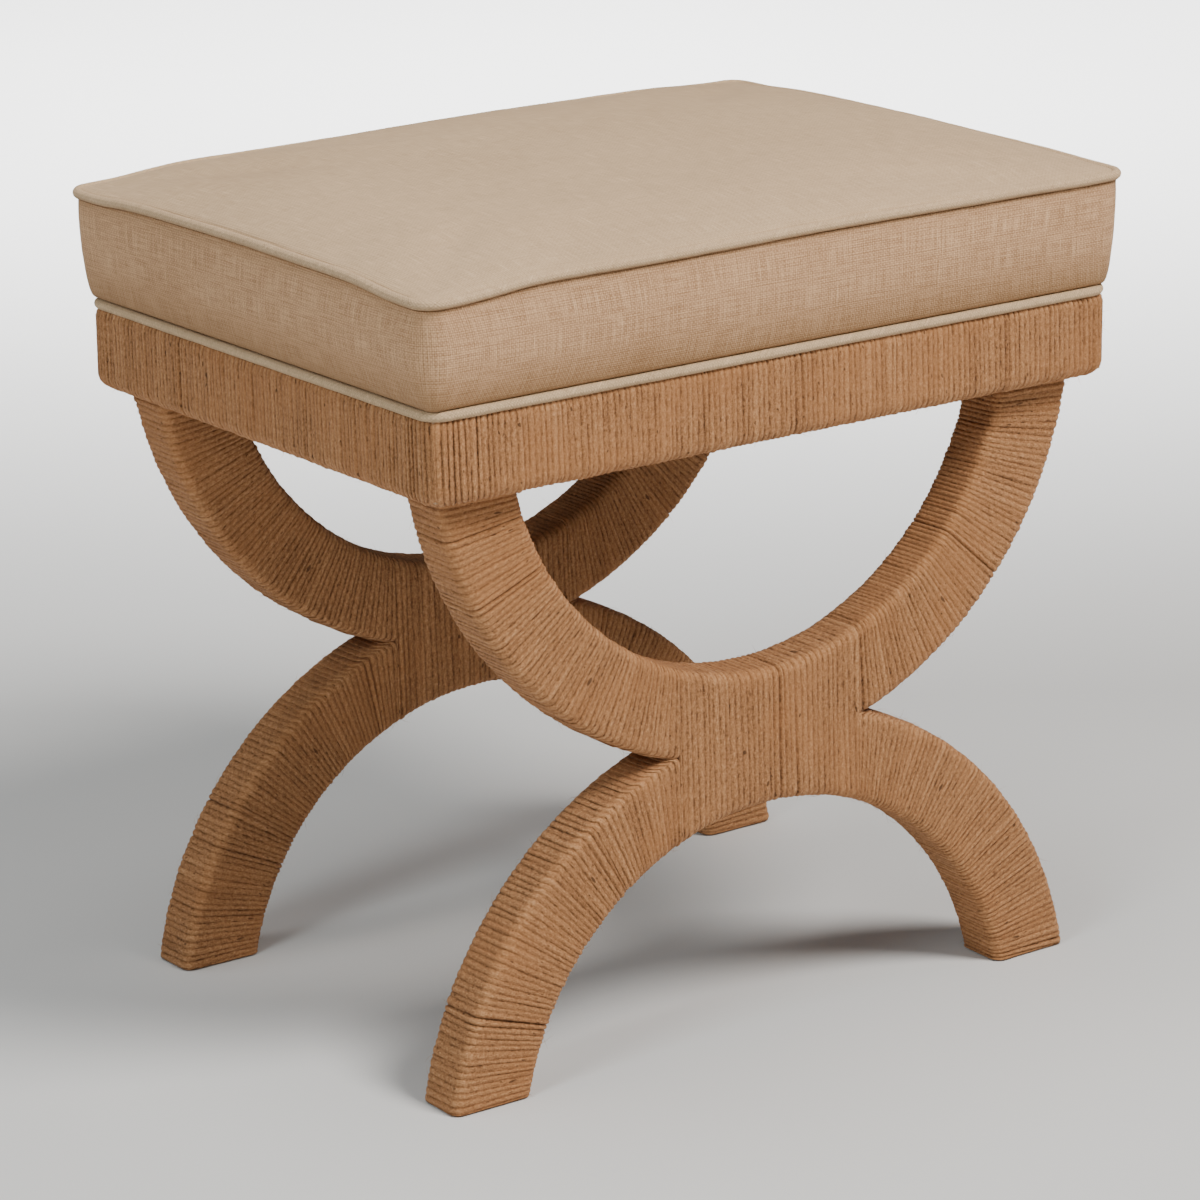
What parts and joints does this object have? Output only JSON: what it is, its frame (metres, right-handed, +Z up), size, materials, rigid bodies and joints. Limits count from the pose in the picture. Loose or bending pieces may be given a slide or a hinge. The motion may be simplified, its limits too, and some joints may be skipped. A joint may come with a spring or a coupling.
{
  "type": "cord-wrapped bench",
  "caption": "Low bench or footstool: a boxed and piped linen cushion on a cord-wrapped rail frame, carried at front and back by crossed curved bows wound with natural cord.",
  "frame": {"origin": "middle of the four feet, on the floor", "axes": "+Z up, +X along the seat's long side, +Y from the front frame to the back frame"},
  "size_m": [0.462, 0.3542, 0.46],
  "materials": {
    "frame_wood": "plain sanded hardwood",
    "wound_cord": "twisted natural fibre cord, wound turn against turn",
    "plywood": "plain plywood",
    "foam": "upholstery foam",
    "cover_linen": "slubby plain-weave linen",
    "welt_cloth": "pale woven welt",
    "dust_cloth": "black non-woven dust cloth"
  },
  "bodies": {
    "root": {"back_cleat": "frame_wood", "back_hub_tenon": "frame_wood", "back_hub_wrap": "wound_cord", "back_left_arm_wrap": "wound_cord", "back_left_leg_wrap": "wound_cord", "back_lower_bow": "frame_wood", "back_rail": "frame_wood", "back_rail_wrap": "wound_cord", "back_right_arm_wrap": "wound_cord", "back_right_leg_wrap": "wound_cord", "back_upper_bow": "frame_wood", "base_welt": "welt_cloth", "dust_cover": "dust_cloth", "front_cleat": "frame_wood", "front_hub_tenon": "frame_wood", "front_hub_wrap": "wound_cord", "front_left_arm_wrap": "wound_cord", "front_left_leg_wrap": "wound_cord", "front_lower_bow": "frame_wood", "front_rail": "frame_wood", "front_rail_wrap": "wound_cord", "front_right_arm_wrap": "wound_cord", "front_right_leg_wrap": "wound_cord", "front_upper_bow": "frame_wood", "left_cleat": "frame_wood", "left_rail": "frame_wood", "left_rail_wrap": "wound_cord", "right_cleat": "frame_wood", "right_rail": "frame_wood", "right_rail_wrap": "wound_cord", "seat_board": "plywood", "seat_boxing": "cover_linen", "seat_foam": "foam", "seat_top_cover": "cover_linen", "top_piping": "cover_linen"}
  },
  "joints": []
}
